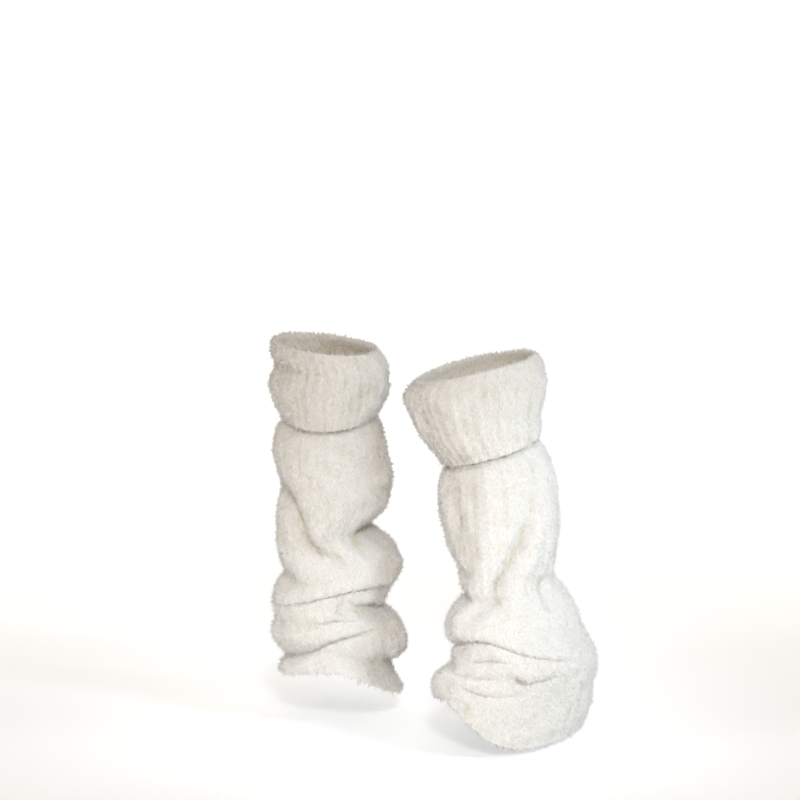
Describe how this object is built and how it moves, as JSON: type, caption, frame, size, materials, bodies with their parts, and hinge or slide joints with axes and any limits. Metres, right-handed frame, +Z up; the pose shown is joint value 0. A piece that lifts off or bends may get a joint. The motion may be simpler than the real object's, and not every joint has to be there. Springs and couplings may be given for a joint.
{
  "type": "pair of leg warmers",
  "caption": "Worn pair of cream plush ribbed leg warmers: knitted tubes with a deep turned-down cuff at the calf, slouched in folds over the ankle.",
  "frame": {"origin": "in the mouth of the wearer's right leg warmer, at the height of its turned-over top, where the calf holds it", "axes": "+Z up, -Y to the front, +X towards the wearer's left leg warmer"},
  "size_m": [0.4205, 0.3046, 0.4942],
  "materials": {
    "plush_knit": "deep cream plush knit with raised ribs and a soft pile, matt"
  },
  "bodies": {
    "root": {"right_leg": "plush_knit", "right_cuff": "plush_knit", "left_leg": "plush_knit", "left_cuff": "plush_knit"}
  },
  "joints": []
}
